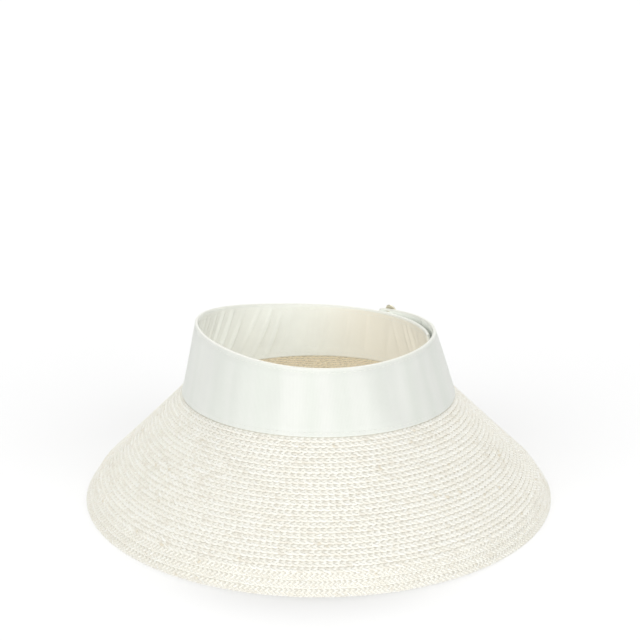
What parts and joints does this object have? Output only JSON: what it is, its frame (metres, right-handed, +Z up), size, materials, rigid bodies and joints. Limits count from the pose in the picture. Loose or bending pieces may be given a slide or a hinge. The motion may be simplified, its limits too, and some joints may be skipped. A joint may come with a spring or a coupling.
{
  "type": "sun visor",
  "caption": "Wide-brim sun visor: an open oval headband of stiffened cloth on a sloping brim of sewn straw braid, with a hook-and-loop tail at the back.",
  "frame": {"origin": "under the middle of the brim's edge, on the surface that the visor stands on", "axes": "+Z up, -Y towards the front of the visor, +X towards the wearer's left side"},
  "size_m": [0.3098, 0.325, 0.1251],
  "materials": {
    "straw_braid": "ivory paper-straw braid, sewn in rows, matt, with oval stitches that stand proud",
    "band_cloth": "ivory fine-ribbed cloth with a soft sheen",
    "lining_cloth": "cream cotton lining, matt, lightly creased",
    "interlining": "stiff non-woven interlining",
    "binding_tape": "ivory woven tape",
    "boning": "flat polyethylene boning",
    "hook_tape": "white hook tape",
    "loop_tape": "white brushed loop tape",
    "stud_metal": "pale dull brass, satin"
  },
  "bodies": {
    "visor": {"brim_row_01": "straw_braid", "brim_row_02": "straw_braid", "brim_row_03": "straw_braid", "brim_row_04": "straw_braid", "brim_row_05": "straw_braid", "brim_row_06": "straw_braid", "brim_row_07": "straw_braid", "brim_row_08": "straw_braid", "brim_row_09": "straw_braid", "brim_row_10": "straw_braid", "brim_row_11": "straw_braid", "brim_row_12": "straw_braid", "brim_row_13": "straw_braid", "brim_row_14": "straw_braid", "brim_row_15": "straw_braid", "brim_row_16": "straw_braid", "brim_row_17": "straw_braid", "brim_row_18": "straw_braid", "brim_row_19": "straw_braid", "brim_row_20": "straw_braid", "brim_row_21": "straw_braid", "brim_row_22": "straw_braid", "brim_row_23": "straw_braid", "brim_row_24": "straw_braid", "brim_row_25": "straw_braid", "edge_row_1": "straw_braid", "edge_row_2": "straw_braid", "edge_row_3": "straw_braid", "collar_row_1": "straw_braid", "collar_row_2": "straw_braid", "edge_boning": "boning", "slit_binding_left": "binding_tape", "slit_binding_right": "binding_tape", "headband_cover": "band_cloth", "headband_stiffener": "interlining", "headband_lining": "lining_cloth", "loop_tape": "loop_tape"},
    "tail": {"tail_cover": "band_cloth", "tail_stiffener": "interlining", "tail_lining": "lining_cloth", "hook_tape": "hook_tape", "stud_cap": "stud_metal", "stud_post": "stud_metal", "stud_washer": "stud_metal"}
  },
  "joints": [
    {"name": "tail_peel", "type": "hinge", "parent": "visor", "child": "tail", "pos_m": [0.07855, 0.05277, 0.06724], "axis": [0.2698, 0.153, -0.9507], "range_deg": [0, 70]}
  ]
}
